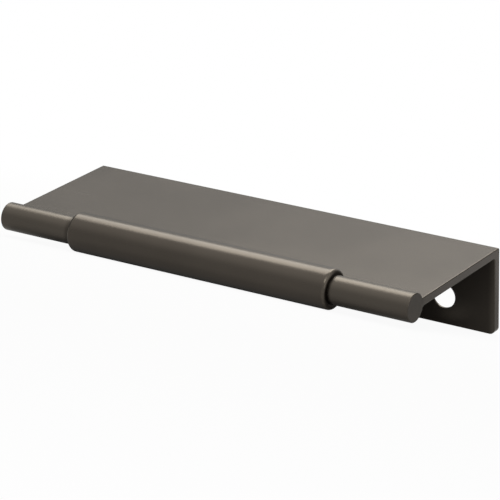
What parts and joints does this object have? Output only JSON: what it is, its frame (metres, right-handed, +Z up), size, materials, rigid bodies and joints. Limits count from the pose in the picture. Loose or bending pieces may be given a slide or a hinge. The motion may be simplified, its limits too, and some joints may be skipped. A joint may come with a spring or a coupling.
{
  "type": "cabinet edge pull",
  "caption": "Edge pull for a door or drawer front: a screw flange, a flat plate over the door's edge and a round front bead with a thicker middle grip.",
  "frame": {"origin": "middle of the pull's footprint, on the floor it rests on", "axes": "+X along the pull, +Y from the bead towards the flange, +Z up; the pull leans forward about X on its grip and the flange's lower edge"},
  "size_m": [0.1, 0.0416, 0.0177],
  "materials": {
    "dark_bronze": "satin, brushed along its length and coated dark bronze"
  },
  "bodies": {
    "root": {"edge_pull": "dark_bronze"}
  },
  "joints": []
}
